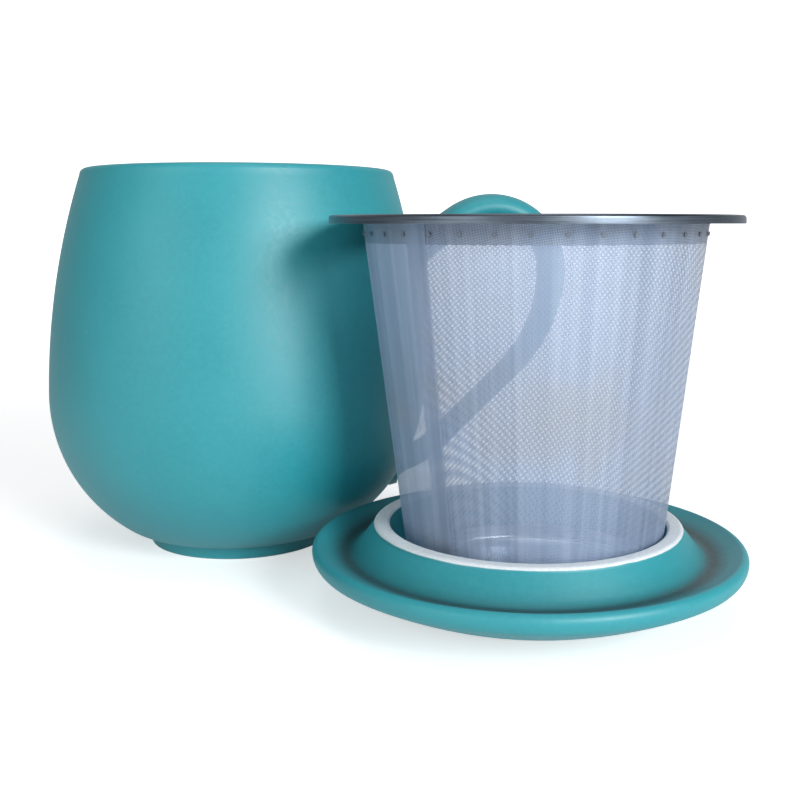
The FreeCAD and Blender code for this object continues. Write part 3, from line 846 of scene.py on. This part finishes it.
def weave_material(name):
    """A plain woven wire cloth, drawn on the flat sheet: wires both ways, and open holes between them."""
    n = Nodes(name)
    cover, height = weave_wires(n)
    streak = n.noise(n.uv("around_mm"), scale=1.0, detail=4.0, roughness=0.55,
                     stretch=(0.55, 0.006, 1.0), seed=4.0)
    cloud = n.noise(n.place(), scale=35.0, detail=2.0, seed=9.0)
    colour = n.mix(n.ramp(streak, low=0.3, high=0.7), WEAVE_TINT, WEAVE_LIGHT)
    colour = n.mix(n.ramp(cloud, low=0.5, high=0.75, to_high=0.45), colour, WEAVE_WARM)
    n.set("Base Color", colour)
    n.set("Metallic", 0.5)
    n.set("Roughness", n.ramp(streak, low=0.25, high=0.75, to_low=0.34, to_high=0.5))
    n.set("Normal", n.bump(height, distance=0.00008, strength=0.7))
    n.set("Alpha", cover)
    return n.material


# Bare clay on the foot and on the ring's edge, and painted shade in the lid's channel
FOOT_BARE_HEIGHT = 0.5
FOOT_BARE_RADIUS = 19.0
RING_BARE_LEVEL = 16.75
RING_BARE_FADE = 0.9
RING_BARE_RADIUS = 34.4
# Where the painted shade lies in the lid's channel
CHANNEL_SHADE_RADIUS = 39.8
CHANNEL_SHADE_WIDTH = 2.6
CHANNEL_SHADE_LEVEL = 10.8


def height_and_radius(piece, centre):
    at = frame_points(piece)
    return at[:, 2], np.hypot(at[:, 0] - centre[0], at[:, 1] - centre[1])


height, radius = height_and_radius(mug_body, MUG)
set_mask(mug_body, "bare", np.clip(1.0 - height / FOOT_BARE_HEIGHT, 0, 1) * (radius > FOOT_BARE_RADIUS))
height, radius = height_and_radius(lid, LID)
ring_bare = np.clip((height - RING_BARE_LEVEL) / RING_BARE_FADE, 0, 1)
set_mask(lid, "bare", ring_bare * (radius < RING_BARE_RADIUS))
# Painted shade mask: strongest in the channel round the dish, between the ring and the lip
set_mask(lid, "painted_channel_shade", np.exp(-((radius - CHANNEL_SHADE_RADIUS) / CHANNEL_SHADE_WIDTH) ** 2) * (height > CHANNEL_SHADE_LEVEL))
set_mask(mug_handle, "bare", np.zeros(len(mug_handle.data.vertices)))

glaze = glaze_material()
# Painted dark reflection: the flange and collar steel gets a far darker colour than bare steel, standing in
# for the dark surroundings it mirrors
sheet_steel = steel_material("polished_steel_sheet", "434e5a", "808b97", 0.32, (0.05, 9.0, 1.0))
pan_steel = steel_material("drawn_steel_cup", "b4c0d0", "d8e0ea", 0.3, (0.08, 5.0, 1.0))
weave = weave_material("woven_steel_mesh")
weave_lap = weave_material("woven_steel_mesh_lap")
weld_steel = steel_material("weld_spot_steel", "6f7884", "8d97a4", 0.45, (1.5, 1.5, 1.0))

for piece, material, body, node, slot in (
        (mug_body, glaze, "mug", "mug_body", "teal_glaze"),
        (mug_handle, glaze, "mug", "mug_handle", "teal_glaze"),
        (lid, glaze, "lid", "lid", "teal_glaze"),
        (rim, sheet_steel, "infuser", "infuser_rim", "steel_sheet"),
        (pan, pan_steel, "infuser", "infuser_base_pan", "steel_sheet"),
        (sheet, weave, "infuser", "infuser_mesh_wall", "steel_mesh"),
        (lap, weave_lap, "infuser", "infuser_mesh_wall", "steel_mesh")):
    piece.data.materials.append(material)
    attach(piece, body)
    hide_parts(node)
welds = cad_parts["collar_spot_welds"]
welds.data.materials.clear()
welds.data.materials.append(weld_steel)


# Floor and backdrop, in metres
FLOOR_FRONT = -1.6
FLOOR_BACK = 0.9
FLOOR_BEND = 0.5
BACKDROP_TOP = 2.2
FLOOR_HALF_WIDTH = 2.2
FLOOR_COLUMNS = 12
BEND_ROWS = 24


def make_floor():
    line = [(FLOOR_FRONT, 0.0), (FLOOR_BACK, 0.0)]
    for a in np.linspace(0.05, math.pi / 2, BEND_ROWS):
        line.append((FLOOR_BACK + FLOOR_BEND * math.sin(a), FLOOR_BEND - FLOOR_BEND * math.cos(a)))
    line.append((FLOOR_BACK + FLOOR_BEND, BACKDROP_TOP))
    across = np.linspace(-FLOOR_HALF_WIDTH, FLOOR_HALF_WIDTH, FLOOR_COLUMNS)
    vertices = [(x, y, z) for y, z in line for x in across]
    faces = []
    for i in range(len(line) - 1):
        low, high = i * FLOOR_COLUMNS, (i + 1) * FLOOR_COLUMNS
        for k in range(FLOOR_COLUMNS - 1):
            faces.append([low + k, low + k + 1, high + k + 1, high + k])
    return new_object("floor_and_backdrop", vertices, faces)


def floor_material():
    """A pale floor that the camera sees brighter towards the back."""
    n = Nodes("pale_floor")
    tone = n.noise(n.place(), scale=3.0, detail=2.0)
    n.set("Base Color", n.mix(tone, (0.86, 0.86, 0.86, 1), (0.9, 0.9, 0.9, 1)))
    n.set("Roughness", 0.9)
    n.set("Specular IOR Level", 0.1)
    split = n.node("ShaderNodeSeparateXYZ")
    n.put(split.inputs[0], n.place())
    n.set("Emission Color", (1.0, 1.0, 1.0, 1.0))
    rays = n.node("ShaderNodeLightPath").outputs
    seen = n.math("ADD", rays["Is Camera Ray"], n.math("MULTIPLY", rays["Is Glossy Ray"], 0.3))
    glow = n.ramp(split.outputs[1], low=0.0, high=0.8, to_low=0.55, to_high=1.0)
    n.set("Emission Strength", n.math("MULTIPLY", glow, seen))
    return n.material


floor = make_floor()
floor.data.materials.append(floor_material())


# Light, in metres and watts
def area_light(name, place, aim, size, power):
    data = bpy.data.lights.new(name, "AREA")
    data.shape = "RECTANGLE"
    data.size, data.size_y = size
    data.energy = power
    lamp = bpy.data.objects.new(name, data)
    bpy.context.scene.collection.objects.link(lamp)
    lamp.location = place
    lamp.rotation_euler = (Vector(aim) - Vector(place)).to_track_quat("-Z", "Y").to_euler()


area_light("key_right_front", place=(0.55, -0.78, 0.36), aim=(0, 0, 0.05), size=(0.34, 0.42), power=9.0)
area_light("fill_left", place=(-0.75, -0.85, 0.40), aim=(0, 0, 0.05), size=(0.6, 0.6), power=2.8)
area_light("overhead", place=(0.0, -0.05, 1.1), aim=(0, 0, 0), size=(0.7, 0.7), power=2.0)
world = bpy.data.worlds.new("studio")
world.use_nodes = True
background = world.node_tree.nodes["Background"]
background.inputs["Color"].default_value = (0.93, 0.97, 1.0, 1)
background.inputs["Strength"].default_value = 0.20
bpy.context.scene.world = world
bpy.context.scene.view_settings.view_transform = "Standard"

# Camera, fitted to the photograph: its middle lies away from the picture's, so the lens is shifted
PICTURE_PIXELS = 800
CAMERA_AT = (14.58, -254.6, 82.7)
CAMERA_DOWN = 2.318
FOCAL_PIXELS = 1051.5
SHIFT_PIXELS = (-27.8, -134.3)
SENSOR_WIDTH = 36.0
camera_data = bpy.data.cameras.new("photo_camera")
camera_data.sensor_width = SENSOR_WIDTH
camera_data.lens = FOCAL_PIXELS / PICTURE_PIXELS * SENSOR_WIDTH
camera_data.shift_x, camera_data.shift_y = [pixels / PICTURE_PIXELS for pixels in SHIFT_PIXELS]
camera_data.clip_start = 0.01
camera = bpy.data.objects.new("photo_camera", camera_data)
bpy.context.scene.collection.objects.link(camera)
camera.location = [v * MM for v in CAMERA_AT]
camera.rotation_euler = (math.radians(90.0 - CAMERA_DOWN), 0, 0)
bpy.context.scene.camera = camera
